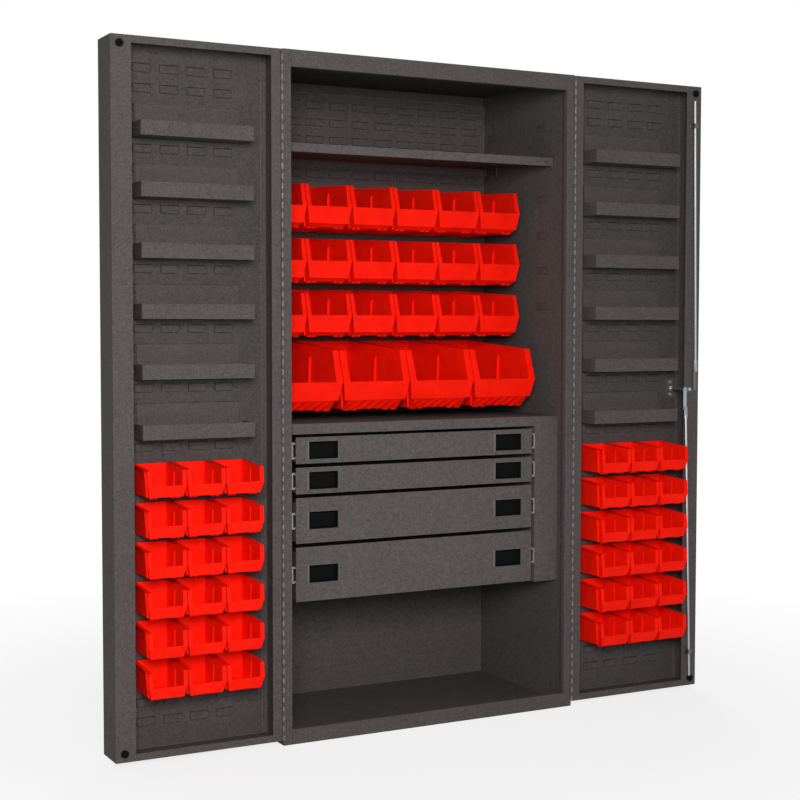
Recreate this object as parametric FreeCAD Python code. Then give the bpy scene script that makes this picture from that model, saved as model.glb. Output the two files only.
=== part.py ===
import FreeCAD, Part
import math
import os

# Steel bin cabinet with two deep box doors, louvred panels, hanging bins, door trays, a shelf,
# four drawers and a three point lock, in millimetres.
# X runs to the right, Y from the front to the back, Z up. The origin is the centre of the
# cabinet's base. At rest both doors stand open by half a turn and the drawers are shut.

# Cabinet body, folded from sheet steel
CABINET_WIDTH = 914.4
CABINET_DEPTH = 508.0
CABINET_HEIGHT = 1828.8
SHEET = 1.9
STILE_WIDTH = 25.4
STILE_RETURN = 14.0
HEADER_HEIGHT = 44.5
SILL_HEIGHT = 40.6
RAIL_LIP = 16.0
BASE_UPTURN = 29.0
NOTCH_WIDTH = 26.0

# Box doors
DOOR_DEPTH = 101.6
DOOR_BOTTOM = 13.0
DOOR_TOP_DROP = 1.0
DOOR_CENTRE_GAP = 1.6
FREE_STILE = 54.0
HINGE_STILE = 28.0
DOOR_RAIL = 19.3

# Continuous hinges
LEAF_SHEET = 1.2
LEAF_GAP = 0.6
LEAF_WIDTH = 18.0
LEAF_SETBACK = 0.2
KNUCKLE_RADIUS = 2.6
KNUCKLE_FLATS = 6
PIN_RADIUS = 1.2
PIN_FIT = 0.06
KNUCKLES = 7
KNUCKLE_GAP = 0.6
HINGE_END = 3.0

# Rubber bumpers on the doors' free stiles
BUMPER_RADIUS = 10.0
BUMPER_HEIGHT = 5.0
BUMPER_EDGE = 23.0
BUMPER_TOP = 22.0
BUMPER_BOTTOM = 23.0

# Louvred panels
LOUVRE_HEIGHT = 20.0
LOUVRE_REACH = 4.8
LOUVRE_ROOT = 1.6
LOUVRE_ROW_PITCH = 50.8
LOUVRE_TOP_ROOM = 55.8
LOUVRE_EDGE_ROOM = 2.0
LOUVRE_FOOT_ROOM = 30.0
PANEL_SHEET = 1.2
DOOR_PANEL_DEPTH = 88.9
DOOR_LOUVRE_WIDTH = 50.0
DOOR_COLUMN_PITCH = 73.0
DOOR_FIRST_COLUMN = 128.4
DOOR_PANEL_END_GAP = 2.0
DOOR_PANEL_HINGE_GAP = 17.9
DOOR_PANEL_FREE_GAP = 14.3
BACK_PANEL_DEPTH = 495.3
BACK_LOUVRE_WIDTH = 57.2
BACK_COLUMN_PITCH = 76.2
BACK_COLUMNS_SHIFT = 17.0
BACK_PANEL_TOP_GAP = 28.8
BACK_PANEL_SIDE_GAP = 1.0

# How bins and trays hang on a louvre
HOOK_CLEARANCE = 0.3
HOOK_SHEET = 1.9
HOOK_DROP = 7.0
HANG_LIFT = 10.0

# Moulded bins: width, depth from the panel, height, lip height, rim and foot setbacks, the rim's
# drop towards the front, the walls, and how far each side leans in below the lip
SMALL_BIN = {"width": 104.8, "depth": 136.5, "height": 81.0, "lip": 33.0, "rim_back": 5.0,
             "foot_back": 15.0, "rim_drop": 9.0, "wall": 2.2, "lean": 3.0}
MEDIUM_BIN = {"width": 139.7, "depth": 277.0, "height": 137.0, "lip": 60.0, "rim_back": 20.0,
              "foot_back": 14.0, "rim_drop": 15.0, "wall": 2.8, "lean": 6.0}
LARGE_BIN = {"width": 209.5, "depth": 375.0, "height": 190.0, "lip": 81.0, "rim_back": 33.0,
             "foot_back": 25.0, "rim_drop": 22.0, "wall": 3.2, "lean": 9.0}
BIN_GAP = 0.8
MEDIUM_START_ROOM = 30.3
LARGE_START_ROOM = 24.8
BIN_END_ROOM = 20.0
MEDIUM_ROWS = (5, 8, 11)
LARGE_ROWS = (14,)
DOOR_BIN_START = 70.6
DOOR_BIN_END_ROOM = 2.0
DOOR_BIN_FIRST_ROW = 20
DOOR_BIN_ROWS_LEFT = 3
DOOR_BIN_ROW_STEP = 2

# Door trays
TRAY_START = 76.0
TRAY_END_ROOM = 77.4
TRAY_SHEET = 1.5
TRAY_LIP = 38.0
TRAY_HEIGHT = 88.0
TRAY_RECESS = 0.5
TRAY_BACK_INSET = 12.0
TRAY_FIRST_ROW = 2
TRAY_ROW_STEP = 3

# Shelf on clips in the side walls' slots
SHELF_TOP_ROOM = 226.1
SHELF_FRONT = 106.7
SHELF_BACK = 483.0
SHELF_LIP = 24.5
SHELF_HEM = 9.0
SHELF_SIDE_GAP = 1.2
SHELF_HOLE = 6.0
SHELF_HOLE_EDGE = 22.7
SHELF_LIFT = 30.0
SLOT_WIDTH = 6.0
SLOT_HEIGHT = 18.0
SLOT_PITCH = 105.0
SLOTS_BELOW_SHELF = 4
SLOTS_ABOVE_SHELF = 1
SLOT_FRONT = 148.6
SLOT_BACK = 430.0
SLOT_BELOW_TOP = 14.0
CLIP_REACH = 18.0
CLIP_WIDTH = 20.0
CLIP_SHEET = 2.0
CLIP_LEG = 26.0
CLIP_SEAT = 0.3

# Drawer unit
UNIT_FRONT = 73.7
UNIT_TOP_ROOM = 981.7
UNIT_HEIGHT = 486.1
UNIT_RAIL = 28.0
LEFT_COLUMN_WIDTH = 56.5
RIGHT_COLUMN_WIDTH = 79.4
COLUMN_RETURN = 22.0
DRAWER_HEIGHTS = (72.0, 72.0, 124.0, 148.0)
DRAWER_GAP = 10.0
DRAWER_TOP_GAP = 8.0
DRAWER_LENGTH = 400.0
DRAWER_OVERHANG = 1.8
DRAWER_SIDE_DROP = 14.0
DRAWER_SHEET = 1.2
DRAWER_FLOOR_UP = 5.0
DRAWER_TRAVEL = 380.0

# Ball bearing slides, three members each
SLIDE_THICKNESS = 12.7
SLIDE_HEIGHT = 45.0
SLIDE_SHEET = 1.5
SLIDE_GAP = 0.4
SLIDE_OUTER_DEPTH = 9.0
SLIDE_MIDDLE_DEPTH = 8.4
SLIDE_INNER_DEPTH = 7.6

# Recessed drawer pulls
PULL_WIDTH = 95.3
PULL_HEIGHT = 50.8
PULL_FLANGE = 2.0
PULL_CUP_WIDTH = 88.0
PULL_CUP_HEIGHT = 44.0
PULL_CUP_DEPTH = 15.0
PULL_WALL = 2.0
PULL_INSET = 78.0
PULL_FIT = 0.2

# Three point lock on the right door
SPINDLE_EDGE = 40.4
SPINDLE_RISE = 5.1
SPINDLE_SIDE = 8.0
SPINDLE_END = 2.0
SPINDLE_CUTOUT = 13.0
CAM_OFFSET = 3.6
CAM_SHEET = 4.0
CAM_WIDTH = 14.0
CRANK = 18.0
LINK_LENGTH = 58.0
LINK_SHEET = 3.0
LINK_WIDTH = 12.0
LOCK_GAP = 0.4
RIVET_RADIUS = 4.0
RIVET_HEAD = 2.2
ROD_RADIUS = 4.0
ROD_FOOT = 26.0
ROD_TIP_EDGE = 34.8
ROD_TIP_END = 47.0
GUIDE_FROM_TIP = 74.0
GUIDE_WIDTH = 24.0
GUIDE_HEIGHT = 14.0
GUIDE_WALL = 1.8
GUIDE_FIT = 0.5
MOUNT_WIDTH = 40.0
MOUNT_HEIGHT = 62.0
MOUNT_SHEET = 2.0
NUT_SPACING = 38.0
NUT_RADIUS = 6.0
NUT_HEIGHT = 5.0
ROSE_WIDTH = 46.0
ROSE_HEIGHT = 74.0
ROSE_DEPTH = 8.0
ROSE_BEVEL = 3.0
HANDLE_NECK_RADIUS = 9.0
HANDLE_NECK = 30.0
HANDLE_LENGTH = 118.0
HANDLE_WIDTH = 21.0
HANDLE_THICKNESS = 13.0
HANDLE_TAPER = 0.72
HANDLE_EDGE = 3.0

# How far a cutter reaches past what it cuts
OVERCUT = 1.0

# Places worked out from the sizes above; u is measured from a door's hinge edge
HALF = CABINET_WIDTH / 2
FRONT = -CABINET_DEPTH / 2
BACK = CABINET_DEPTH / 2
HINGE_GAP = 2 * LEAF_SHEET + LEAF_GAP
HINGE_X = HALF + HINGE_GAP / 2
HINGE_OUT = KNUCKLE_RADIUS + 0.15
HINGE_Y = FRONT - HINGE_OUT
DOOR_X = HALF + HINGE_GAP
DOOR_WIDTH = HALF - DOOR_CENTRE_GAP / 2
DOOR_TOP = CABINET_HEIGHT - DOOR_TOP_DROP
SPINDLE_U = DOOR_WIDTH - SPINDLE_EDGE
SPINDLE_Z = CABINET_HEIGHT / 2 + SPINDLE_RISE
TIP_U = DOOR_WIDTH - ROD_TIP_EDGE
UPPER_TIP_Z = CABINET_HEIGHT - ROD_TIP_END
DOOR_PANEL_Y = FRONT + DOOR_PANEL_DEPTH
DOOR_PANEL_BOTTOM = DOOR_BOTTOM + SHEET + DOOR_PANEL_END_GAP
BACK_PANEL_Y = FRONT + BACK_PANEL_DEPTH
HANG_OFFSET = LOUVRE_REACH + 2 * HOOK_CLEARANCE
INNER_HALF = HALF - SHEET
SHELF_TOP = CABINET_HEIGHT - SHELF_TOP_ROOM
UNIT_TOP = CABINET_HEIGHT - UNIT_TOP_ROOM
UNIT_BOTTOM = UNIT_TOP - UNIT_HEIGHT
MEDIUM_START = MEDIUM_START_ROOM - INNER_HALF
LARGE_START = LARGE_START_ROOM - INNER_HALF
BIN_END = INNER_HALF - BIN_END_ROOM
TRAY_WIDTH = DOOR_WIDTH - TRAY_START - TRAY_END_ROOM
UNIT_Y = FRONT + UNIT_FRONT
UNIT_LEFT = -INNER_HALF + LEFT_COLUMN_WIDTH
UNIT_RIGHT = INNER_HALF - RIGHT_COLUMN_WIDTH
UNIT_MIDDLE = (UNIT_LEFT + UNIT_RIGHT) / 2
BOX_HALF = (UNIT_RIGHT - UNIT_LEFT) / 2 - SLIDE_THICKNESS
SPINDLE_X = DOOR_X + SPINDLE_U
CAM_Y = FRONT - CAM_OFFSET - CAM_SHEET
LINK_Y = CAM_Y - LOCK_GAP - LINK_SHEET
ROD_Y = LINK_Y - LOCK_GAP - LINK_SHEET / 2


def fitting(room, pitch):
    """How many places one pitch apart a length has room for, the first at its start."""
    return 1 + math.floor(room / pitch)


# Counts: louvres wherever the panels have room, bins side by side, rows down the doors
LOUVRE_FIRST_ROW = CABINET_HEIGHT - LOUVRE_TOP_ROOM
FIRST_FOOT = LOUVRE_FIRST_ROW - LOUVRE_HEIGHT
DOOR_PANEL_ROWS = fitting(FIRST_FOOT - DOOR_PANEL_BOTTOM - LOUVRE_FOOT_ROOM, LOUVRE_ROW_PITCH)
DOOR_PANEL_COLUMNS = fitting(SPINDLE_U - (SPINDLE_CUTOUT + DOOR_LOUVRE_WIDTH) / 2 - LOUVRE_EDGE_ROOM
                             - DOOR_FIRST_COLUMN, DOOR_COLUMN_PITCH)
BACK_PANEL_ROWS = fitting(FIRST_FOOT - UNIT_TOP - LOUVRE_EDGE_ROOM, LOUVRE_ROW_PITCH)
BACK_PANEL_COLUMNS = fitting(2 * (INNER_HALF - BACK_PANEL_SIDE_GAP - LOUVRE_EDGE_ROOM - BACK_COLUMNS_SHIFT)
                             - BACK_LOUVRE_WIDTH, BACK_COLUMN_PITCH)
ROW_TOPS = [LOUVRE_FIRST_ROW - LOUVRE_ROW_PITCH * k for k in range(DOOR_PANEL_ROWS)]
MEDIUM_COUNT = math.floor((BIN_END - MEDIUM_START) / MEDIUM_BIN["width"])
LARGE_COUNT = math.floor((BIN_END - LARGE_START) / LARGE_BIN["width"])
DOOR_BIN_COUNT = math.floor((DOOR_WIDTH - FREE_STILE - DOOR_BIN_END_ROOM - DOOR_BIN_START)
                            / SMALL_BIN["width"])
DOOR_BIN_ROWS = range(DOOR_BIN_FIRST_ROW, DOOR_PANEL_ROWS - DOOR_BIN_ROWS_LEFT, DOOR_BIN_ROW_STEP)
TRAY_ROWS = range(TRAY_FIRST_ROW, DOOR_BIN_FIRST_ROW - DOOR_BIN_ROW_STEP, TRAY_ROW_STEP)

os.makedirs("parts", exist_ok=True)


def box(x0, x1, y0, y1, z0, z1):
    """A block between two corners."""
    return Part.makeBox(x1 - x0, y1 - y0, z1 - z0, FreeCAD.Vector(x0, y0, z0))


def extrude(points, direction):
    """A flat closed shape, given by its corners, swept straight along a direction."""
    wire = Part.makePolygon([FreeCAD.Vector(*p) for p in points + points[:1]])
    return Part.Face(wire).extrude(FreeCAD.Vector(*direction))


def across(profile, x0, x1):
    """An outline of (y, z) points swept from x0 to x1."""
    return extrude([(x0, y, z) for y, z in profile], (x1 - x0, 0, 0))


def upright(profile, z0, z1):
    """An outline of (x, y) points swept from z0 to z1."""
    return extrude([(x, y, z0) for x, y in profile], (0, 0, z1 - z0))


def lengthwise(profile, y0, y1):
    """An outline of (x, z) points swept from y0 to y1."""
    return extrude([(x, y0, z) for x, z in profile], (0, y1 - y0, 0))


def disc(x, z, radius, y0, y1):
    """A round piece whose axis runs along Y."""
    return Part.makeCylinder(radius, y1 - y0, FreeCAD.Vector(x, y0, z), FreeCAD.Vector(0, 1, 0))


def joined(*shapes):
    """One solid from shapes that share faces or volume."""
    return shapes[0].multiFuse(list(shapes[1:])).removeSplitter()


def mirrored(shape):
    """The same piece for the left side."""
    return shape.mirror(FreeCAD.Vector(0, 0, 0), FreeCAD.Vector(1, 0, 0))


def save(name, *solids):
    """Writes one piece, or one group of like pieces, as a STEP file."""
    shape = solids[0] if len(solids) == 1 else Part.makeCompound(list(solids))
    shape.exportStep("parts/" + name + ".step")


# Cabinet body: base with its sill, two sides with their stiles, back, and top with its header
def rail(z_edge, z_sheet, lip_z0, lip_z1, notch_x):
    """The folded front rail of the top or base, with notches that let the lock rods by."""
    z0, z1 = sorted((z_edge, z_sheet))
    width = HALF - STILE_WIDTH
    face = box(-width, width, FRONT, FRONT + SHEET, z0, z1)
    lip = box(-width, width, FRONT + SHEET, FRONT + SHEET + RAIL_LIP, lip_z0, lip_z1)
    for x in (-notch_x, notch_x):
        cutter = box(x - NOTCH_WIDTH / 2, x + NOTCH_WIDTH / 2, FRONT + SHEET, BACK,
                     lip_z0 - OVERCUT, lip_z1 + OVERCUT)
        lip = lip.cut(cutter)
    return [face] + lip.Solids


def side_panel():
    """Right side: one sheet folded into wall, stile and return, with slots for shelf clips."""
    inner = HALF - STILE_WIDTH
    outline = [(inner, FRONT), (HALF, FRONT), (HALF, BACK - SHEET), (INNER_HALF, BACK - SHEET),
               (INNER_HALF, FRONT + SHEET), (inner + SHEET, FRONT + SHEET),
               (inner + SHEET, FRONT + SHEET + STILE_RETURN), (inner, FRONT + SHEET + STILE_RETURN)]
    wall = upright(outline, SHEET, CABINET_HEIGHT - SHEET)
    cutters = []
    for z in slot_heights():
        for y in (FRONT + SLOT_FRONT, FRONT + SLOT_BACK):
            cutters.append(box(INNER_HALF - OVERCUT, HALF + OVERCUT, y - SLOT_WIDTH / 2, y + SLOT_WIDTH / 2,
                               z - SLOT_HEIGHT / 2, z + SLOT_HEIGHT / 2))
    return wall.cut(cutters)


def slot_heights():
    """Middles of the side walls' slots; one of them is the shelf's own."""
    own = SHELF_TOP - SLOT_BELOW_TOP
    return [own + SLOT_PITCH * k for k in range(-SLOTS_BELOW_SHELF, SLOTS_ABOVE_SHELF + 1)]


notch_x = HALF - TIP_U
sill = rail(SILL_HEIGHT, SHEET, SILL_HEIGHT - SHEET, SILL_HEIGHT, notch_x)
header_edge = CABINET_HEIGHT - HEADER_HEIGHT
header = rail(header_edge, CABINET_HEIGHT - SHEET, header_edge, header_edge + SHEET, notch_x)
save("base_panel", joined(
    box(-HALF, HALF, FRONT, BACK, 0, SHEET),
    box(-INNER_HALF, INNER_HALF, BACK - 2 * SHEET, BACK - SHEET, SHEET, BASE_UPTURN),
    *sill))
save("top_panel", joined(
    box(-HALF, HALF, FRONT, BACK, CABINET_HEIGHT - SHEET, CABINET_HEIGHT),
    *header))
right_side = side_panel()
save("right_side_panel", right_side)
save("left_side_panel", mirrored(right_side))
save("back_panel", box(-HALF, HALF, BACK - SHEET, BACK, SHEET, CABINET_HEIGHT - SHEET))


# Louvred panels: each louvre is a tongue pressed out of the sheet, open at its top
def outline(*points):
    """A closed wire through a few points; a hole's runs the other way round from its sheet's."""
    return Part.makePolygon([FreeCAD.Vector(*p) for p in points + points[:1]])


def louvred_panel(x0, x1, y, reach, z0, z1, column_middles, louvre_width, row_tops):
    """A channel of sheet steel with a grid of louvres standing out of its front face."""
    s = PANEL_SHEET
    channel = across([(y, z0), (y + reach, z0), (y + reach, z0 + s), (y + s, z0 + s),
                      (y + s, z1 - s), (y + reach, z1 - s), (y + reach, z1), (y, z1)], x0, x1)
    faces = [f for f in channel.Faces if f.BoundBox.YMax > y + s / 2]
    wires = [outline((x0, y, z0), (x1, y, z0), (x1, y, z1), (x0, y, z1))]
    for middle in column_middles:
        left = middle - louvre_width / 2
        right = middle + louvre_width / 2
        for top in row_tops:
            foot = top - LOUVRE_HEIGHT
            root = foot + LOUVRE_ROOT
            a, b = (left, y, foot), (right, y, foot)
            c, d = (right, y, root), (left, y, root)
            e, f = (left, y - LOUVRE_REACH, top), (right, y - LOUVRE_REACH, top)
            wires.append(outline(a, d, c, b))
            faces += [Part.Face(outline(a, b, f, e)), Part.Face(outline(d, c, f, e)),
                      Part.Face(outline(a, d, e)), Part.Face(outline(b, c, f))]
    faces.append(Part.Face(wires))
    skin = Part.makeCompound(faces)
    skin.sewShape()
    solid = Part.makeSolid(skin.Shells[0])
    if solid.Volume < 0:
        solid.reverse()
    return solid


def square(side, y0, y1):
    """A square bar on the lock spindle's axis."""
    h = side / 2
    return box(SPINDLE_X - h, SPINDLE_X + h, y0, y1, SPINDLE_Z - h, SPINDLE_Z + h)


def spindle_cutout(y, sheet):
    """An opening through a sheet for the lock's spindle."""
    return square(SPINDLE_CUTOUT, y - OVERCUT, y + sheet + OVERCUT)


door_columns = [DOOR_X + DOOR_FIRST_COLUMN + DOOR_COLUMN_PITCH * k for k in range(DOOR_PANEL_COLUMNS)]
door_panel = louvred_panel(
    DOOR_X + SHEET + DOOR_PANEL_HINGE_GAP, DOOR_X + DOOR_WIDTH - SHEET - DOOR_PANEL_FREE_GAP,
    DOOR_PANEL_Y, DOOR_DEPTH - SHEET - DOOR_PANEL_DEPTH,
    DOOR_PANEL_BOTTOM, DOOR_TOP - SHEET - DOOR_PANEL_END_GAP,
    door_columns, DOOR_LOUVRE_WIDTH, ROW_TOPS)
save("left_door_louvre_panel", mirrored(door_panel))
save("right_door_louvre_panel", door_panel.cut(spindle_cutout(DOOR_PANEL_Y, PANEL_SHEET)))

back_columns = [BACK_COLUMNS_SHIFT + BACK_COLUMN_PITCH * (k - (BACK_PANEL_COLUMNS - 1) / 2)
                for k in range(BACK_PANEL_COLUMNS)]
save("back_louvre_panel", louvred_panel(
    -INNER_HALF + BACK_PANEL_SIDE_GAP, INNER_HALF - BACK_PANEL_SIDE_GAP,
    BACK_PANEL_Y, CABINET_DEPTH - SHEET - BACK_PANEL_DEPTH, UNIT_TOP, CABINET_HEIGHT - BACK_PANEL_TOP_GAP,
    back_columns, BACK_LOUVRE_WIDTH, ROW_TOPS[:BACK_PANEL_ROWS]))


# Box doors: a pan whose four edges turn in to form the stiles and rails around its recess
def door_shell():
    outer = box(DOOR_X, DOOR_X + DOOR_WIDTH, FRONT, FRONT + DOOR_DEPTH, DOOR_BOTTOM, DOOR_TOP)
    hollow = box(DOOR_X + SHEET, DOOR_X + DOOR_WIDTH - SHEET, FRONT + SHEET, FRONT + DOOR_DEPTH - SHEET,
                 DOOR_BOTTOM + SHEET, DOOR_TOP - SHEET)
    mouth = box(DOOR_X + HINGE_STILE, DOOR_X + DOOR_WIDTH - FREE_STILE,
                FRONT - OVERCUT, FRONT + SHEET + OVERCUT, DOOR_BOTTOM + DOOR_RAIL, DOOR_TOP - DOOR_RAIL)
    return outer.cut([hollow, mouth])


shell = door_shell()
save("left_door_shell", mirrored(shell))
save("right_door_shell", shell.cut([
    spindle_cutout(FRONT, SHEET), spindle_cutout(FRONT + DOOR_DEPTH - SHEET, SHEET)]))


# Continuous hinges: a cabinet leaf and a door leaf whose knuckles alternate along one pin
def knuckle_outline(radius):
    """A rolled knuckle or its bore seen from above, with a few flats because there are many."""
    turns = [2 * math.pi * (k + 0.5) / KNUCKLE_FLATS for k in range(KNUCKLE_FLATS)]
    return [(HINGE_X + radius * math.cos(t), HINGE_Y + radius * math.sin(t)) for t in turns]


def hinge_leaf(leaf_x0, leaf_x1, numbers, bore_radius):
    """One leaf with its own knuckles, for the right side; the bore's flats touch bore_radius."""
    bore = knuckle_outline(bore_radius / math.cos(math.pi / KNUCKLE_FLATS))
    z0 = DOOR_BOTTOM + HINGE_END
    pitch = (DOOR_TOP - HINGE_END - z0) / KNUCKLES
    pieces = [box(leaf_x0, leaf_x1, FRONT + LEAF_SETBACK, FRONT + LEAF_WIDTH, z0, z0 + pitch * KNUCKLES)]
    bores = []
    for n in numbers:
        low = z0 + pitch * n + KNUCKLE_GAP / 2
        high = low + pitch - KNUCKLE_GAP
        pieces.append(upright(knuckle_outline(KNUCKLE_RADIUS), low, high))
        pieces.append(box(leaf_x0, leaf_x1, HINGE_Y, FRONT + LEAF_WIDTH, low, high))
        bores.append(upright(bore, low - OVERCUT, high + OVERCUT))
    return joined(*pieces).cut(bores)


cabinet_leaf = hinge_leaf(HALF, HALF + LEAF_SHEET, range(0, KNUCKLES, 2), PIN_RADIUS)
door_leaf = hinge_leaf(DOOR_X - LEAF_SHEET, DOOR_X, range(1, KNUCKLES, 2), PIN_RADIUS + PIN_FIT)
hinge_pin = Part.makeCylinder(PIN_RADIUS, DOOR_TOP - DOOR_BOTTOM - 2 * HINGE_END,
                              FreeCAD.Vector(HINGE_X, HINGE_Y, DOOR_BOTTOM + HINGE_END))
save("right_hinge_cabinet_leaf", cabinet_leaf)
save("right_hinge_door_leaf", door_leaf)
save("right_hinge_pin", hinge_pin)
save("left_hinge_cabinet_leaf", mirrored(cabinet_leaf))
save("left_hinge_door_leaf", mirrored(door_leaf))
save("left_hinge_pin", mirrored(hinge_pin))


# Rubber bumpers that meet the header and the sill when a door shuts
bumper_x = DOOR_X + DOOR_WIDTH - BUMPER_EDGE
bumpers = [disc(bumper_x, z, BUMPER_RADIUS, FRONT - BUMPER_HEIGHT, FRONT)
           for z in (DOOR_BOTTOM + BUMPER_BOTTOM, DOOR_TOP - BUMPER_TOP)]
save("right_door_bumpers", *bumpers)
save("left_door_bumpers", *[mirrored(b) for b in bumpers])


# Bins and trays hang by a hook along their back edge: it goes over a louvre and down behind it.
# Each is drawn for a louvre whose tip is at height 0 on a panel at depth 0, then moved.
def hook_corners():
    """Corners of the hook in (y, z), from the top of the piece's back round to its underside."""
    far = -HOOK_CLEARANCE - HOOK_SHEET
    seat = HOOK_CLEARANCE
    return [(-HOOK_CLEARANCE, seat + HOOK_SHEET), (-HOOK_CLEARANCE, -HOOK_DROP),
            (far, -HOOK_DROP), (far, seat), (-HANG_OFFSET, seat)]


def leaning(width, inset, rim, lip, floor, lean, y):
    """A block from y back to the panel whose sides lean in between the lip's height and the floor."""
    return lengthwise([(inset, rim), (inset, lip), (inset + lean, floor), (width - inset - lean, floor),
                       (width - inset, lip), (width - inset, rim)], y, 0)


def hopper_bin(size):
    """An open bin with a low front lip and sides that lean in below it; its left side is at 0."""
    wall = size["wall"]
    lean = size["lean"]
    width = size["width"] - BIN_GAP
    rim = HOOK_CLEARANCE + HOOK_SHEET
    floor = rim - size["height"]
    back = -HANG_OFFSET
    lip_y = -size["depth"]
    foot_y = lip_y + size["foot_back"]
    rim_y = lip_y + size["rim_back"]
    lip_z = floor + size["lip"]
    body = across([(back, floor), (foot_y, floor), (lip_y, lip_z), (rim_y, rim - size["rim_drop"]),
                   (back - wall, rim)] + hook_corners(), 0, width)
    hollow = across([(back - wall, floor + wall), (foot_y + wall, floor + wall), (lip_y + wall, lip_z),
                     (lip_y - wall, lip_z), (lip_y - wall, rim + wall), (back - wall, rim + wall)],
                    wall, width - wall)
    sides = leaning(width, 0, rim + wall, lip_z, floor, lean, lip_y - wall)
    inner_lean = lean * (1 - wall / size["lip"])
    inner = leaning(width, wall, rim + 2 * wall, lip_z, floor + wall, inner_lean, lip_y - 2 * wall)
    return body.common(sides).cut(hollow.common(inner))


def bin_row(size, count, start, y, top):
    """Like bins side by side; start is the first one's left side and top its louvre's height."""
    one = hopper_bin(size)
    return [one.translated(FreeCAD.Vector(start + size["width"] * k, y, top)) for k in range(count)]


for number, row in enumerate(MEDIUM_ROWS, 1):
    save("medium_bins_row_%d" % number,
         *bin_row(MEDIUM_BIN, MEDIUM_COUNT, MEDIUM_START, BACK_PANEL_Y, ROW_TOPS[row]))
large_bins = []
for row in LARGE_ROWS:
    large_bins += bin_row(LARGE_BIN, LARGE_COUNT, LARGE_START, BACK_PANEL_Y, ROW_TOPS[row])
save("large_bins", *large_bins)

door_bins = []
for row in DOOR_BIN_ROWS:
    door_bins += bin_row(SMALL_BIN, DOOR_BIN_COUNT, DOOR_X + DOOR_BIN_START, DOOR_PANEL_Y, ROW_TOPS[row])
save("right_door_bins", *door_bins)
save("left_door_bins", *[mirrored(b) for b in door_bins])


# Door trays: folded pans with a low front and a tall back plate that hooks on
def tray():
    s = TRAY_SHEET
    back = -HANG_OFFSET
    front = TRAY_RECESS - DOOR_PANEL_DEPTH
    top = HOOK_CLEARANCE + HOOK_SHEET
    floor = top - TRAY_HEIGHT
    lip = floor + TRAY_LIP
    body = across([(back, floor), (front, floor), (front, lip), (back - s, lip), (back - s, top)]
                  + hook_corners(), 0, TRAY_WIDTH)
    inside = box(s, TRAY_WIDTH - s, front + s, back - s, floor + s, lip + OVERCUT)
    notches = [box(x, x + TRAY_BACK_INSET + OVERCUT, back - s - OVERCUT, 0, lip, top + OVERCUT)
               for x in (-OVERCUT, TRAY_WIDTH - TRAY_BACK_INSET)]
    return body.cut([inside] + notches)


tray_blank = tray()
trays = [tray_blank.translated(FreeCAD.Vector(DOOR_X + TRAY_START, DOOR_PANEL_Y, ROW_TOPS[row]))
         for row in TRAY_ROWS]
save("right_door_trays", *trays)
save("left_door_trays", *[mirrored(t) for t in trays])


# Shelf and the clips that carry it in the side walls' slots
def shelf():
    half = INNER_HALF - SHELF_SIDE_GAP
    y0 = FRONT + SHELF_FRONT
    y1 = FRONT + SHELF_BACK
    s = SHEET
    low = SHELF_TOP - SHELF_LIP
    pan = across([(y0, low), (y0 + SHELF_HEM, low), (y0 + SHELF_HEM, low + s), (y0 + s, low + s),
                  (y0 + s, SHELF_TOP - s), (y1 - s, SHELF_TOP - s), (y1 - s, low), (y1, low),
                  (y1, SHELF_TOP), (y0, SHELF_TOP)], -half, half)
    h = SHELF_HOLE / 2
    z = SHELF_TOP - SHELF_LIP / 2
    middles = [side * (half - SHELF_HOLE_EDGE) for side in (-1, 1)]
    return pan.cut([box(x - h, x + h, y0 - OVERCUT, y0 + s + OVERCUT, z - h, z + h) for x in middles])


def shelf_clip(y):
    """One clip on the right wall: a tongue in the slot, a leg down the wall and a shelf tab."""
    slot = SHELF_TOP - SLOT_BELOW_TOP
    tab_top = SHELF_TOP - SHEET - CLIP_SEAT
    wide = CLIP_WIDTH / 2
    narrow = SLOT_WIDTH / 2 - PULL_FIT
    tab = box(INNER_HALF - CLIP_REACH, INNER_HALF, y - wide, y + wide, tab_top - CLIP_SHEET, tab_top)
    leg = box(INNER_HALF - CLIP_SHEET, INNER_HALF, y - wide, y + wide, tab_top - CLIP_LEG, tab_top)
    tongue = box(INNER_HALF, HALF, y - narrow, y + narrow, slot - SLOT_HEIGHT / 2 + PULL_FIT, slot)
    return joined(tab, leg, tongue)


save("shelf", shelf())
clips = [shelf_clip(FRONT + SLOT_FRONT), shelf_clip(FRONT + SLOT_BACK)]
save("shelf_clips", *(clips + [mirrored(c) for c in clips]))


# Drawer unit: a top sheet with its rail, and a folded column at each side
def column(inner, wall, sign):
    """A column from its inner face to the cabinet's wall; sign is the way to that wall."""
    s = SHEET * sign
    y_end = UNIT_Y + COLUMN_RETURN
    outline = [(inner, UNIT_Y), (wall, UNIT_Y), (wall, y_end), (wall - s, y_end),
               (wall - s, UNIT_Y + SHEET), (inner + s, UNIT_Y + SHEET),
               (inner + s, BACK - SHEET), (inner, BACK - SHEET)]
    return upright(outline, UNIT_BOTTOM, UNIT_TOP - SHEET)


save("drawer_unit_left_column", column(UNIT_LEFT, -INNER_HALF, -1))
save("drawer_unit_right_column", column(UNIT_RIGHT, INNER_HALF, 1))
save("drawer_unit_top", joined(
    box(-INNER_HALF, INNER_HALF, UNIT_Y, BACK - SHEET, UNIT_TOP - SHEET, UNIT_TOP),
    box(UNIT_LEFT, UNIT_RIGHT, UNIT_Y, UNIT_Y + SHEET, UNIT_TOP - UNIT_RAIL, UNIT_TOP - SHEET)))


# Drawers, each with two recessed pulls and a pair of three part slides
def drawer_top(number):
    """Height of a drawer front's top edge; drawer 0 is the highest."""
    above = sum(DRAWER_HEIGHTS[:number]) + DRAWER_GAP * number
    return UNIT_TOP - UNIT_RAIL - DRAWER_TOP_GAP - above


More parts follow.
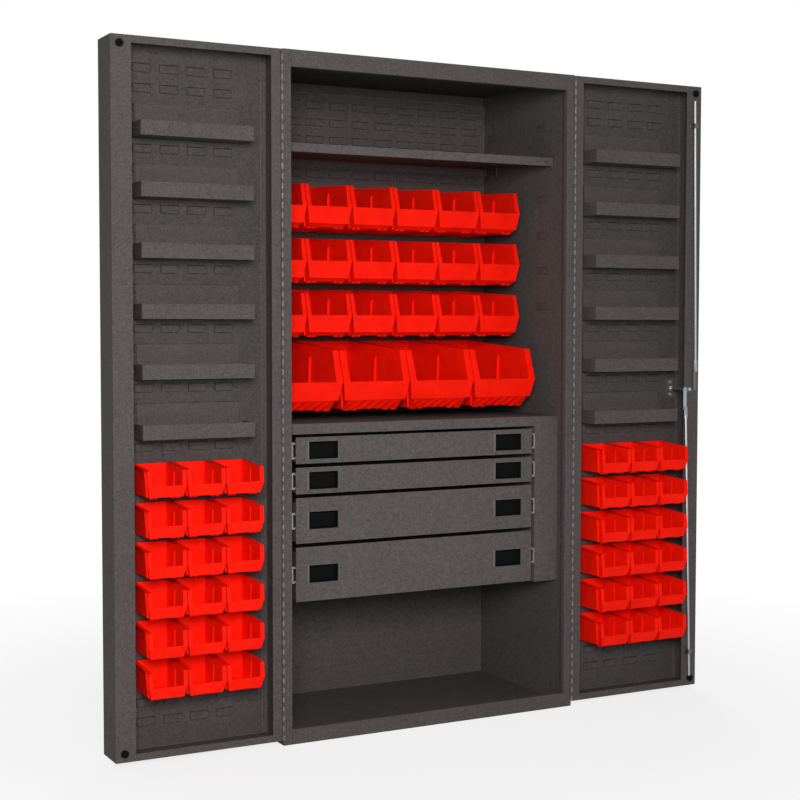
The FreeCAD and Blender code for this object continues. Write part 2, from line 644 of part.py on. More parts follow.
def pull_middles(number):
    """Middles of a drawer's two pulls."""
    z = drawer_top(number) - DRAWER_HEIGHTS[number] / 2
    reach = BOX_HALF + DRAWER_OVERHANG - PULL_INSET - PULL_WIDTH / 2 + PULL_CUP_WIDTH / 2
    return [(UNIT_MIDDLE - reach, z), (UNIT_MIDDLE + reach, z)]


def drawer_box(number):
    """Floor, sides and back under a front plate with openings for the pulls."""
    top = drawer_top(number)
    low = top - DRAWER_HEIGHTS[number]
    half = BOX_HALF + DRAWER_OVERHANG
    y0 = UNIT_Y + SHEET
    y1 = y0 + DRAWER_LENGTH
    s = DRAWER_SHEET
    front = box(UNIT_MIDDLE - half, UNIT_MIDDLE + half, UNIT_Y, y0, low, top)
    tub = box(UNIT_MIDDLE - BOX_HALF, UNIT_MIDDLE + BOX_HALF, y0, y1,
              low + DRAWER_FLOOR_UP, top - DRAWER_SIDE_DROP)
    hollow = box(UNIT_MIDDLE - BOX_HALF + s, UNIT_MIDDLE + BOX_HALF - s, y0, y1 - s,
                 low + DRAWER_FLOOR_UP + s, top)
    windows = []
    for x, z in pull_middles(number):
        w = PULL_CUP_WIDTH / 2 + PULL_FIT
        h = PULL_CUP_HEIGHT / 2 + PULL_FIT
        windows.append(box(x - w, x + w, UNIT_Y - OVERCUT, y0 + OVERCUT, z - h, z + h))
    return joined(front, tub.cut(hollow)).cut(windows)


def drawer_pull(x, z):
    """A moulded cup behind a flange that covers the opening's edge."""
    plate = box(x - PULL_WIDTH / 2, x + PULL_WIDTH / 2, UNIT_Y - PULL_FLANGE, UNIT_Y,
                z - PULL_HEIGHT / 2, z + PULL_HEIGHT / 2)
    w = PULL_CUP_WIDTH / 2
    h = PULL_CUP_HEIGHT / 2
    t = PULL_WALL
    cup = box(x - w, x + w, UNIT_Y, UNIT_Y + PULL_CUP_DEPTH, z - h, z + h)
    hollow = box(x - w + t, x + w - t, UNIT_Y - PULL_FLANGE - OVERCUT, UNIT_Y + PULL_CUP_DEPTH - t,
                 z - h + t, z + h - t)
    return joined(plate, cup).cut(hollow)


def slide_member(wall, sign, web, depth, half_height, opens, z):
    """A channel beside a wall; web is its distance from that wall and opens the way it faces."""
    s = SLIDE_SHEET
    x0 = wall + sign * web
    x1 = x0 + sign * opens * depth
    t = sign * opens * s
    outline = [(x0, z - half_height), (x1, z - half_height), (x1, z - half_height + s),
               (x0 + t, z - half_height + s), (x0 + t, z + half_height - s), (x1, z + half_height - s),
               (x1, z + half_height), (x0, z + half_height)]
    return lengthwise(outline, UNIT_Y + SHEET, UNIT_Y + SHEET + DRAWER_LENGTH)


def slide_pair(web, depth, half_height, opens, number):
    """The same member at both sides of one drawer."""
    z = drawer_top(number) - DRAWER_HEIGHTS[number] / 2
    return [slide_member(UNIT_LEFT, 1, web, depth, half_height, opens, z),
            slide_member(UNIT_RIGHT, -1, web, depth, half_height, opens, z)]


outer_half = SLIDE_HEIGHT / 2
middle_half = outer_half - SLIDE_SHEET - SLIDE_GAP
inner_half = middle_half - SLIDE_SHEET - SLIDE_GAP
fixed_members = []
for number in range(len(DRAWER_HEIGHTS)):
    name = "drawer_%d" % (number + 1)
    save(name + "_box", drawer_box(number))
    save(name + "_pulls", *[drawer_pull(x, z) for x, z in pull_middles(number)])
    fixed_members += slide_pair(0, SLIDE_OUTER_DEPTH, outer_half, 1, number)
    save(name + "_slide_middle",
         *slide_pair(SLIDE_SHEET + SLIDE_GAP, SLIDE_MIDDLE_DEPTH, middle_half, 1, number))
    save(name + "_slide_inner",
         *slide_pair(SLIDE_THICKNESS, SLIDE_INNER_DEPTH, inner_half, -1, number))
save("slide_cabinet_members", *fixed_members)


# Three point lock: handle, spindle, crank, two links and two rods
def strap(x0, z0, x1, z1, width, y, sheet):
    """A flat bar with clipped corners between two pivots, lying in the plane of the door."""
    length = math.hypot(x1 - x0, z1 - z0)
    dx, dz = (x1 - x0) / length, (z1 - z0) / length
    end = width / 2
    clip = width / 4
    corners = [(-end, -clip), (-clip, -end), (length + clip, -end), (length + end, -clip),
               (length + end, clip), (length + clip, end), (-clip, end), (-end, clip)]
    return lengthwise([(x0 + dx * a - dz * b, z0 + dz * a + dx * b) for a, b in corners], y, y + sheet)


def hexagon(x, z, radius, y0, y1):
    """A nut or a bolt's head."""
    turns = [math.radians(60 * k) for k in range(6)]
    return lengthwise([(x + radius * math.cos(t), z + radius * math.sin(t)) for t in turns], y0, y1)


def rod_foot(way):
    """Where a rod starts, at the end of its link; way is 1 for the upper rod, -1 for the lower."""
    return SPINDLE_X + way * CRANK, SPINDLE_Z + way * LINK_LENGTH


def rod_line(way):
    """A rod's foot, its unit direction towards its tip, and its length."""
    tip_x = DOOR_X + TIP_U
    tip_z = UPPER_TIP_Z if way > 0 else ROD_TIP_END
    x, z = rod_foot(way)
    length = math.hypot(tip_x - x, tip_z - z)
    return (x, z), ((tip_x - x) / length, (tip_z - z) / length), length


def lock_rod(way):
    """A round rod whose flattened foot lies on its link, with a bolt's head on the foot."""
    (x, z), (dx, dz), length = rod_line(way)
    face = ROD_Y - LINK_SHEET / 2
    foot = strap(x, z, x + ROD_FOOT * dx, z + ROD_FOOT * dz, LINK_WIDTH, face, LINK_SHEET)
    direction = FreeCAD.Vector(dx, 0, dz)
    start = FreeCAD.Vector(x, ROD_Y, z) + direction * (ROD_FOOT - LINK_WIDTH / 2)
    bar = Part.makeCylinder(ROD_RADIUS, length - ROD_FOOT + LINK_WIDTH / 2, start, direction)
    return joined(foot, bar, hexagon(x, z, RIVET_RADIUS, face - RIVET_HEAD, face))


def lock_link(way):
    """A strap from a pivot on the crank to its rod, with a rivet's head at the crank."""
    x, z = rod_foot(way)
    return joined(strap(x, z, x, SPINDLE_Z, LINK_WIDTH, LINK_Y, LINK_SHEET),
                  disc(x, SPINDLE_Z, RIVET_RADIUS, LINK_Y - RIVET_HEAD, LINK_Y))


def rod_guide(way):
    """A bent loop on the free stile that a rod slides through."""
    (x, z), (dx, dz), length = rod_line(way)
    at = length - GUIDE_FROM_TIP
    gx, gz = x + at * dx, z + at * dz
    half_hole = ROD_RADIUS + GUIDE_FIT
    front = ROD_Y - half_hole - GUIDE_WALL
    inner = half_hole + GUIDE_WALL
    half = GUIDE_WIDTH / 2
    foot = FRONT - GUIDE_WALL
    plan = [(gx - half, FRONT), (gx - half, foot), (gx - inner, foot), (gx - inner, front),
            (gx + inner, front), (gx + inner, foot), (gx + half, foot), (gx + half, FRONT),
            (gx + half_hole, FRONT), (gx + half_hole, front + GUIDE_WALL),
            (gx - half_hole, front + GUIDE_WALL), (gx - half_hole, FRONT)]
    return upright(plan, gz - GUIDE_HEIGHT / 2, gz + GUIDE_HEIGHT / 2)


def lever():
    """The handle's grip, narrowing away from its neck; it points at the hinge when unlocked."""
    w0 = HANDLE_WIDTH / 2
    w1 = w0 * HANDLE_TAPER
    end = SPINDLE_X - HANDLE_LENGTH
    root = SPINDLE_X + w0
    clip = w0 / 2
    corners = [(root, SPINDLE_Z - clip), (root, SPINDLE_Z + clip), (root - clip, SPINDLE_Z + w0),
               (SPINDLE_X - w0, SPINDLE_Z + w0), (end + clip, SPINDLE_Z + w1), (end, SPINDLE_Z + w1 - clip),
               (end, SPINDLE_Z - w1 + clip), (end + clip, SPINDLE_Z - w1),
               (SPINDLE_X - w0, SPINDLE_Z - w0), (root - clip, SPINDLE_Z - w0)]
    grip = lengthwise(corners, spindle_end, neck_end)
    face = [f for f in grip.Faces if f.BoundBox.YMin > neck_end - 0.1][0]
    return grip.makeChamfer(HANDLE_EDGE, face.Edges)


door_face = FRONT + DOOR_DEPTH
rose_face = door_face + ROSE_DEPTH
neck_end = door_face + HANDLE_NECK
spindle_end = neck_end - HANDLE_THICKNESS
mount_y = DOOR_PANEL_Y - MOUNT_SHEET

save("upper_rod", lock_rod(1))
save("lower_rod", lock_rod(-1))
save("upper_link", lock_link(1))
save("lower_link", lock_link(-1))
save("rod_guides", rod_guide(1), rod_guide(-1))
crank = strap(SPINDLE_X - CRANK, SPINDLE_Z, SPINDLE_X + CRANK, SPINDLE_Z, CAM_WIDTH, CAM_Y, CAM_SHEET)
save("lock_cam", crank.cut(square(SPINDLE_SIDE, CAM_Y - OVERCUT, CAM_Y + CAM_SHEET + OVERCUT)))
save("lock_spindle", square(SPINDLE_SIDE, CAM_Y - SPINDLE_END, spindle_end))
mount_plate = box(SPINDLE_X - MOUNT_WIDTH / 2, SPINDLE_X + MOUNT_WIDTH / 2, mount_y, DOOR_PANEL_Y,
                  SPINDLE_Z - MOUNT_HEIGHT / 2, SPINDLE_Z + MOUNT_HEIGHT / 2)
save("lock_mount_plate", mount_plate.cut(spindle_cutout(mount_y, MOUNT_SHEET)))
save("lock_mount_nuts", *[hexagon(SPINDLE_X, SPINDLE_Z + k * NUT_SPACING / 2, NUT_RADIUS,
                                  mount_y - NUT_HEIGHT, mount_y) for k in (-1, 1)])
rose = box(SPINDLE_X - ROSE_WIDTH / 2, SPINDLE_X + ROSE_WIDTH / 2, door_face, rose_face,
           SPINDLE_Z - ROSE_HEIGHT / 2, SPINDLE_Z + ROSE_HEIGHT / 2)
rose_edges = [e for e in rose.Edges if e.BoundBox.YMin > rose_face - 0.1]
save("handle_rose", rose.makeChamfer(ROSE_BEVEL, rose_edges).cut(spindle_cutout(door_face, ROSE_DEPTH)))
neck = disc(SPINDLE_X, SPINDLE_Z, HANDLE_NECK_RADIUS, rose_face + LOCK_GAP, spindle_end)
save("lock_handle", joined(lever(), neck.cut(square(SPINDLE_SIDE, rose_face, spindle_end))))
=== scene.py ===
import math
from types import SimpleNamespace

import bmesh
import bpy
from mathutils import Matrix, Vector


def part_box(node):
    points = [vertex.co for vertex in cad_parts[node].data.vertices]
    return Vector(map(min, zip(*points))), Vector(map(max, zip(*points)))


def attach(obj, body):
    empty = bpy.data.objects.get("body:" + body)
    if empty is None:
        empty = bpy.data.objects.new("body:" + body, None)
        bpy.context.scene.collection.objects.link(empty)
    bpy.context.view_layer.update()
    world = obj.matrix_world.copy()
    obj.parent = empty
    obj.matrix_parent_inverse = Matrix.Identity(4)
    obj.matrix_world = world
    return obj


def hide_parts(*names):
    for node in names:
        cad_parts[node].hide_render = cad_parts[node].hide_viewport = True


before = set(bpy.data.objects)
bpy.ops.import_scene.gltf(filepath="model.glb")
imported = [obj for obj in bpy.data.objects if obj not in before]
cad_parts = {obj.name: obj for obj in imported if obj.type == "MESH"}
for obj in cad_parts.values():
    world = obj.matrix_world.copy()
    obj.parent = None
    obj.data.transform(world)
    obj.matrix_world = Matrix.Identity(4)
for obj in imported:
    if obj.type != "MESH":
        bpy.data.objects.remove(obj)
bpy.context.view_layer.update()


# The view: the cabinet is seen from its left, at about two thirds of its height, with a long
# lens, and the picture is square.
eye = Vector((-2.0817, -3.9456, 1.1232))
turn, dip, tilt = math.radians(28.102), math.radians(2.927), math.radians(0.072)
ahead = Vector((math.sin(turn) * math.cos(dip), math.cos(turn) * math.cos(dip), -math.sin(dip)))
level = Vector((math.cos(turn), -math.sin(turn), 0))
side = math.cos(tilt) * level + math.sin(tilt) * level.cross(ahead)
lens = bpy.data.cameras.new("view")
lens.sensor_width = 36
lens.lens = 69.233
view = bpy.data.objects.new("view", lens)
view.matrix_world = Matrix.Translation(eye) @ Matrix((side, side.cross(ahead), -ahead)).transposed().to_4x4()
bpy.context.scene.collection.objects.link(view)
bpy.context.scene.camera = view
bpy.context.scene.view_settings.view_transform = "Standard"


# Nodes for a finish. Sums and products of values are written as plain sums and products, and
# every other node comes from Finish.node, its settings first and then its sockets.
class Wire:
    """A value on its way through a finish."""

    def __init__(self, finish, socket):
        self.finish = finish
        self.socket = socket

    def maths(self, operation, first, second):
        return self.finish.node("Math", {"operation": operation}, {0: first, 1: second})

    def __add__(self, other):
        return self.maths("ADD", self, other)

    def __radd__(self, other):
        return self.maths("ADD", other, self)

    def __sub__(self, other):
        return self.maths("SUBTRACT", self, other)

    def __rsub__(self, other):
        return self.maths("SUBTRACT", other, self)

    def __mul__(self, other):
        return self.maths("MULTIPLY", self, other)

    def __rmul__(self, other):
        return self.maths("MULTIPLY", other, self)


class Finish:
    """A material that is built up node by node."""

    def __init__(self, name):
        self.material = bpy.data.materials.new(name)
        self.material.use_nodes = True
        self.tree = self.material.node_tree
        self.tree.nodes.clear()

    def node(self, kind, settings=None, sockets=None, out=0):
        made = self.tree.nodes.new("ShaderNode" + kind)
        for key, value in (settings or {}).items():
            setattr(made, key, value)
        for key, value in (sockets or {}).items():
            if isinstance(value, Wire):
                self.tree.links.new(value.socket, made.inputs[key])
            else:
                made.inputs[key].default_value = value
        return None if out is None else Wire(self, made.outputs[out])

    def place(self):
        """Where a point lies on its piece, in metres."""
        return self.node("TexCoord", out="Object")

    def grain(self, size, detail=2.0, roughness=0.5):
        """Soft random variation about this many metres across, from 0 to 1."""
        return self.node("TexNoise", None, {"Vector": self.place(), "Scale": 1 / size, "Detail": detail,
                                            "Roughness": roughness})

    def contrast(self, value, low, high):
        """The same variation with low as its 0 and high as its 1."""
        return self.node("MapRange", {"clamp": True}, {"Value": value, "From Min": low, "From Max": high})

    def blend(self, share, one, other):
        """One colour where share is 0 and the other where it is 1."""
        return self.node("Mix", {"data_type": "RGBA"}, {0: share, 6: (*one, 1), 7: (*other, 1)}, 2)

    def bumps(self, height, depth):
        """The surface's slope where height goes from 0 to 1 over this many metres."""
        return self.node("Bump", None, {"Height": height, "Distance": depth, "Strength": 1.0})

    def done(self, **sockets):
        """The material, its shader's sockets given by their names with _ for each space."""
        named = {key.replace("_", " "): value for key, value in sockets.items()}
        shader = self.node("BsdfPrincipled", None, named)
        self.node("OutputMaterial", None, {"Surface": shader}, None)
        return self.material


# The studio: a pale floor that runs into a white background, one soft lamp ahead and to the
# left, a weak one behind for the back, and even light from all round.
def lamp(name, place, aim, size, power, colour):
    data = bpy.data.lights.new(name, "AREA")
    data.shape = "DISK"
    data.size = size
    data.energy = power
    data.color = colour
    made = bpy.data.objects.new(name, data)
    made.location = place
    made.rotation_mode = "QUATERNION"
    made.rotation_quaternion = (Vector(aim) - Vector(place)).to_track_quat("-Z", "Y")
    bpy.context.scene.collection.objects.link(made)


class Sky(Finish):
    """The world's nodes, made with the same method."""

    def __init__(self):
        world = bpy.data.worlds.new("studio")
        bpy.context.scene.world = world
        world.use_nodes = True
        self.tree = world.node_tree
        self.tree.nodes.clear()


sky = Sky()
seen = sky.node("LightPath", out="Is Camera Ray")
seen = seen + sky.node("LightPath", out="Is Glossy Ray") + sky.node("LightPath", out="Is Transmission Ray")
shown = sky.node("Background", None, {"Color": (1, 1, 1, 1), "Strength": 1.0})
lit = sky.node("Background", None, {"Color": (0.93, 0.98, 1.0, 1), "Strength": 0.285})
sky.node("OutputWorld", None, {"Surface": sky.node("MixShader", None, {0: seen, 1: lit, 2: shown})}, None)

lamp("key", (-2.0, -4.15, 1.75), (0.0, 0.0, 0.9), 1.3, 166, (1.0, 0.985, 0.97))
lamp("back", (2.4, 4.6, 2.6), (0.0, 0.2, 0.9), 2.6, 150, (0.98, 0.99, 1.0))

floor_paint = Finish("studio_floor")
near = floor_paint.node("VectorMath", {"operation": "LENGTH"}, {0: floor_paint.place()}, "Value")
fade = floor_paint.node("MapRange", {"clamp": True},
                        {"Value": near, "From Min": 0.9, "From Max": 2.4, "To Min": 0.8, "To Max": 1.0})
eye_ray = floor_paint.node("LightPath", out="Is Camera Ray")
eye_ray = eye_ray + floor_paint.node("LightPath", out="Is Glossy Ray")
matt = floor_paint.node("BsdfDiffuse", None, {"Color": (0.7, 0.7, 0.7, 1)})
glow = floor_paint.node("Emission", None, {"Color": (1, 1, 1, 1), "Strength": 1.0})
mixed = floor_paint.node("MixShader", None, {0: fade * eye_ray, 1: matt, 2: glow})
floor_paint.node("OutputMaterial", None, {"Surface": mixed}, None)
floor_mesh = bpy.data.meshes.new("studio_floor")
REACH, UNDER = 40, -0.0005
floor_mesh.from_pydata([(x * REACH, y * REACH, UNDER) for x, y in ((-1, -1), (1, -1), (1, 1), (-1, 1))], [],
                       [(0, 1, 2, 3)])
floor_mesh.materials.append(floor_paint.material)
studio_floor = bpy.data.objects.new("studio_floor", floor_mesh)
bpy.context.scene.collection.objects.link(studio_floor)


# The cabinet body: base, sides, back and top, each folded from 1.9 mm sheet, welded at the
# edges and sprayed with a fine textured powder coat in dark warm grey.
def powder_coat(name, colour):
    """Baked powder: dimples a few millimetres across, faint blotches and a dull sheen."""
    coat = Finish(name)
    speck = coat.contrast(coat.grain(0.0052, 3.0, 0.7), 0.32, 0.68)
    blotch = coat.contrast(coat.grain(0.018, 3.0, 0.6), 0.3, 0.7)
    cloud = coat.grain(0.14, 2.0, 0.5)
    darker = tuple(c * 0.56 for c in colour)
    lighter = tuple(c * 1.44 for c in colour)
    dimples = coat.grain(0.0026, 2.0, 0.55)
    return coat.done(Base_Color=coat.blend(speck * 0.6 + blotch * 0.2 + cloud * 0.2, darker, lighter),
                     Roughness=dimples * 0.2 + 0.5, Specular_IOR_Level=0.02,
                     Normal=coat.bumps(dimples * 0.5 + speck * 0.5, 0.0009))


MM = 0.001
FOLD_ANGLE = math.radians(25)


def settle(made, body, nodes, bevel=0, segments=2, method="ANGLE"):
    """Gives a piece its body, the nodes it stands for and its rounded edges."""
    bpy.context.scene.collection.objects.link(made)
    if bevel:
        edges = made.modifiers.new("edges", "BEVEL")
        edges.width = bevel * MM
        edges.segments = segments
        edges.limit_method = method
        edges.angle_limit = FOLD_ANGLE
        edges.harden_normals = True
    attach(made, body)
    if nodes:
        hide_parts(*nodes)
    return made


CUT_EDGE = 2.6 * MM


def rounded(name, node, body, fold, finish, cut=0.6):
    """A plain piece of the frame again: its folds get the radius fold, and the edges of faces no
    wider than CUT_EDGE, where the sheet was cut, the radius cut."""
    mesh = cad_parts[node].data.copy()
    mesh.name = name
    form = bmesh.new()
    form.from_mesh(mesh)
    bmesh.ops.remove_doubles(form, verts=form.verts, dist=1e-6)
    bmesh.ops.dissolve_limit(form, angle_limit=math.radians(0.5), verts=form.verts, edges=form.edges)
    weight = form.edges.layers.float.new("bevel_weight_edge")
    for edge in form.edges:
        if len(edge.link_faces) == 2 and edge.calc_face_angle(0.0) > FOLD_ANGLE:
            width = min(2 * face.calc_area() / face.calc_perimeter() for face in edge.link_faces)
            edge[weight] = 1.0 if width > CUT_EDGE else min(cut / fold, 1.0)
    form.to_mesh(mesh)
    form.free()
    mesh.materials.clear()
    mesh.materials.append(finish)
    mesh.shade_smooth()
    mesh.set_sharp_from_angle(angle=math.radians(40))
    settle(bpy.data.objects.new(name, mesh), body, [node], fold, 2, "WEIGHT")


grey = powder_coat("cabinet_grey", (0.086, 0.0755, 0.0745))
for node in ("base_panel", "left_side_panel", "right_side_panel", "back_panel", "top_panel"):
    rounded(node + "_folded", node, "cabinet", 1.8, grey)


# Pressed hoods in the side walls: one over each slot that the shelf's own clips leave free,
# pushed out of the wall's own sheet. It rises towards the front, where it is open.
class Form:
    """The corners and faces of one mesh, in millimetres, gathered solid by solid."""

    def __init__(self):
        self.corners = []
        self.faces = []
        self.kinds = []

    def loft(self, *loops, kind=0, trim=()):
        """A solid through loops with as many corners each; the first and the last are capped.
        Its faces get the finish of that kind, and those after the loops in trim the next one."""
        start, n = len(self.corners), len(loops[0])
        for loop in loops:
            self.corners += [tuple(point) for point in loop]
        self.faces.append(tuple(start + k for k in reversed(range(n))))
        self.kinds.append(kind)
        for step in range(len(loops) - 1):
            base = start + n * step
            for k in range(n):
                self.faces.append((base + k, base + (k + 1) % n, base + n + (k + 1) % n, base + n + k))
                self.kinds.append(kind + 1 if step in trim else kind)
        self.faces.append(tuple(len(self.corners) - n + k for k in range(n)))
        self.kinds.append(kind)

    def plate(self, outline, push):
        """A flat outline given thickness along push."""
        self.loft(outline, [tuple(a + b for a, b in zip(point, push)) for point in outline])

    def block(self, x0, x1, y0, y1, z0, z1):
        self.plate([(x0, y0, z0), (x1, y0, z0), (x1, y1, z0), (x0, y1, z0)], (0, 0, z1 - z0))

    def mesh(self, name, *finishes):
        mesh = bpy.data.meshes.new(name)
        mesh.from_pydata([(x * MM, y * MM, z * MM) for x, y, z in self.corners], [], self.faces)
        for finish in finishes:
            mesh.materials.append(finish)
        for face, kind in zip(mesh.polygons, self.kinds):
            face.material_index = kind
        form = bmesh.new()
        form.from_mesh(mesh)
        bmesh.ops.recalc_face_normals(form, faces=form.faces[:])
        form.to_mesh(mesh)
        form.free()
        mesh.shade_smooth()
        mesh.set_sharp_from_angle(angle=math.radians(30))
        return mesh


WALL = 455.3
CLIP_SLOTS_Y = (-105.4, 176.0)
SHELF_SLOT_Z, SLOT_PITCH = 1588.7, 105.0
FREE_SLOTS = (-4, -3, -2, -1, 1)
HOOD = ((0.0, -11.2), (5.6, -8.6), (5.6, 8.6), (0.0, 11.2), (0.0, 9.9), (4.5, 7.6), (4.5, -7.6), (0.0, -9.9))
HOOD_RISE = ((-13.0, 1.0), (6.0, 0.86), (44.0, 0.03))
for way, hand in ((1, "right"), (-1, "left")):
    hoods = Form()
    for number in FREE_SLOTS:
        for y in CLIP_SLOTS_Y:
            z = SHELF_SLOT_Z + SLOT_PITCH * number
            hoods.loft(*[[(way * (WALL - out * rise), y + back, z + up) for out, up in HOOD]
                         for back, rise in HOOD_RISE])
    name = hand + "_wall_hoods"
    settle(bpy.data.objects.new(name, hoods.mesh(name, grey)), "cabinet", [])


# Louvred panels: steel sheets with rows of shallow pockets pressed forward out of them, each
# open along its top so that a bin's hook drops in. Their edges are folded back, and they are
# spot welded and powder coated.
# A lighter copy of the coat on the panels' rounded rims: a painted highlight along their folded edges.
edge_highlight_grey = powder_coat("painted_edge_highlight", (0.17, 0.157, 0.153))
# The door panels take a darker copy of the body's coat: painted shade for their place deep in the doors.
panel_shade_grey = powder_coat("door_panel_painted_shade", (0.074, 0.066, 0.0655))
ROW_PITCH, TOP_ROW, ROWS, BACK_ROWS = 50.8, 1773.0, 34, 18
TOPS = [TOP_ROW - ROW_PITCH * k for k in range(ROWS)]
EDGE = 1.6
PANEL_FOLD = 10.0
POCKET_HIGH = 20.0
POCKET_RINGS = ((0.0, 0.5), (0.2, -0.6), (0.7, -3.3), (1.3, -4.4), (2.4, -4.8))
SLOT_LEFT, SLOT_RIGHT, SLOT_BELOW, SLOT_ABOVE = -0.3, 1.0, -16.5, 2.6
WELD_RINGS = ((7.0, 0.0), (6.2, 0.35), (4.6, 0.1))
WELD_SIDES = 16


class Sheet:
    """One panel's corners and faces, as a skin that a Solidify makes into sheet."""

    def __init__(self):
        self.corners = []
        self.faces = []
        self.kinds = []

    def corner(self, *point):
        self.corners.append(point)
        return len(self.corners) - 1

    def face(self, points, kind=0):
        self.faces.append(tuple(points))
        self.kinds.append(kind)

    def strip(self, before, after, outward, kind):
        """Faces between two rows of corners, turned round where outward is false."""
        for i in range(len(before) - 1):
            four = (before[i], before[i + 1], after[i + 1], after[i])
            self.face(four if outward else four[::-1], kind)

    def front(self, xs, zs, y, slot_x, slot_z):
        """The flat sheet, open where the pockets stand."""
        grid = [[self.corner(x, y, z) for x in xs] for z in zs]
        for j in range(len(zs) - 1):
            for i in range(len(xs) - 1):
                if round(xs[i], 3) not in slot_x or round(zs[j], 3) not in slot_z:
                    self.face((grid[j][i], grid[j][i + 1], grid[j + 1][i + 1], grid[j + 1][i]))
        return grid

    def rim(self, grid, xs, zs, y):
        """The edges on all four sides: rounded, with a painted highlight in a lighter grey along the
        rounding, then folded back.
        """
        steps = ((1.2, 0.4, 1), (EDGE, 1.2, 1), (EDGE, PANEL_FOLD, 0))
        for before, way in ((grid[0], -1), (grid[-1], 1)):
            for dz, dy, kind in steps:
                z = (zs[0] if way < 0 else zs[-1]) + way * dz
                after = [self.corner(x, y + dy, z) for x in xs]
                self.strip(before, after, way > 0, kind)
                before = after
        for index, way in ((0, -1), (-1, 1)):
            before = [line[index] for line in grid]
            for dx, dy, kind in steps:
                x = xs[index] + way * dx
                after = [self.corner(x, y + dy, z) for z in zs]
                self.strip(before, after, way < 0, kind)
                before = after

    def pocket(self, x, y, top, wide):
        """One louvre: a shallow tray pressed forward, with its upper end open."""
        h = wide / 2
        path = ((-h, POCKET_HIGH), (-h, 2.4), (-h + 0.8, 0.7), (-h + 2.6, 0.0),
                (h - 2.6, 0.0), (h - 0.8, 0.7), (h, 2.4), (h, POCKET_HIGH))
        loops = []
        for inset, out in POCKET_RINGS:
            loops.append([self.corner(x + across * (h - inset) / h, y + out,
                                      top - POCKET_HIGH + max(up + inset * (1 - up / POCKET_HIGH) * 1.3, 0))
                          for across, up in path])
        for outer, inner in zip(loops, loops[1:]):
            self.strip(outer, inner, True, 0)
        self.face(loops[-1])

    def weld(self, x, y, z):
        """The faint disc that a spot weld leaves."""
        loops = []
        for radius, out in WELD_RINGS:
            loops.append([self.corner(x + radius * math.cos(a), y - out, z + radius * math.sin(a))
                          for a in (math.tau * k / WELD_SIDES for k in range(WELD_SIDES))])
        for outer, inner in zip(loops, loops[1:]):
            for k in range(WELD_SIDES):
                after = (k + 1) % WELD_SIDES
                self.face((outer[k], outer[after], inner[after], inner[k]))
        self.face(loops[-1])


def louvred(name, node, body, coat, x0, x1, y, z0, z1, columns, wide, tops, welds=()):
    """One panel, with a louvre round each column's middle whose tip is at each height in tops."""
    slots = [(c - wide / 2 + SLOT_LEFT, c + wide / 2 + SLOT_RIGHT) for c in columns]
    gaps = [(top + SLOT_BELOW, top + SLOT_ABOVE) for top in tops]
    xs = sorted([x0 + EDGE, x1 - EDGE] + [x for pair in slots for x in pair])
    zs = sorted([z0 + EDGE, z1 - EDGE] + [z for pair in gaps for z in pair])
    sheet = Sheet()
    grid = sheet.front(xs, zs, y, {round(pair[0], 3) for pair in slots}, {round(pair[0], 3) for pair in gaps})
    sheet.rim(grid, xs, zs, y)
    for column in columns:
        for top in tops:
            sheet.pocket(column, y, top, wide)
    for x, z in welds:
        sheet.weld(x, y, z)
    mesh = bpy.data.meshes.new(name)
    mesh.from_pydata([(x * MM, y * MM, z * MM) for x, y, z in sheet.corners], [], sheet.faces)
    for finish in (coat, edge_highlight_grey):
        mesh.materials.append(finish)
    for made, kind in zip(mesh.polygons, sheet.kinds):
        made.material_index = kind
    mesh.shade_flat()
    made = settle(bpy.data.objects.new(name, mesh), body, [node])
    thickness = made.modifiers.new("sheet", "SOLIDIFY")
    thickness.thickness = 1.1 * MM
    thickness.offset = -1


DOOR_PANEL_Y, BACK_PANEL_Y = -165.1, 241.3
DOOR_PANEL_X = (480.0, 900.4)
DOOR_LOUVRE, BACK_LOUVRE = 50.0, 57.2
DOOR_COLUMNS = [588.6 + 73.0 * k for k in range(4)]
BACK_COLUMNS = [17.0 + 76.2 * k for k in range(-5, 6)]
DOOR_WELDS = [(521.0, 1640.0 - 195.0 * k) for k in range(8)]
low, high = (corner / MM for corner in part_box("right_door_louvre_panel"))
for way, hand in ((1, "right"), (-1, "left")):
    ends = sorted(way * x for x in DOOR_PANEL_X)
    louvred(hand + "_door_louvres", hand + "_door_louvre_panel", hand + "_door", panel_shade_grey, ends[0], ends[1],
            DOOR_PANEL_Y, low[2], high[2], sorted(way * x for x in DOOR_COLUMNS), DOOR_LOUVRE, TOPS,
            [(way * x, z) for x, z in DOOR_WELDS])
low, high = (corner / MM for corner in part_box("back_louvre_panel"))
louvred("back_louvres", "back_louvre_panel", "cabinet", grey, low[0], high[0], BACK_PANEL_Y, low[2], high[2],
        BACK_COLUMNS, BACK_LOUVRE, TOPS[:BACK_ROWS])


# Box doors: pans 102 mm deep whose edges turn in as stiles and rails. Each is folded from
# steel sheet, welded at its corners and powder coated like the body.
for hand in ("left", "right"):
    rounded(hand + "_door_pan", hand + "_door_shell", hand + "_door", 2.0, grey)


# Continuous hinges: two narrow steel leaves rolled into knuckles half an inch long round one
# zinc plated pin. They are welded to the body and to the door, and coated with them.
def zinc(name, colour, dull=0.34):
    """Bright zinc plate: fine drawn lines and faint cloudy bloom."""
    plate = Finish(name)
    bloom = plate.grain(0.012, 3.0, 0.6)
    lines = plate.grain(0.0009, 2.0, 0.5)
    darker = tuple(c * 0.72 for c in colour)
    return plate.done(Base_Color=plate.blend(bloom * 0.7 + lines * 0.3, darker, colour), Metallic=1.0,
                      Roughness=bloom * 0.18 + lines * 0.08 + (dull - 0.12),
                      Normal=plate.bumps(lines, 0.00008))


def ring(x, y, z, radius, sides=10):
    turns = [math.tau * k / sides for k in range(sides)]
    return [(x + radius * math.cos(a), y + radius * math.sin(a), z) for a in turns]
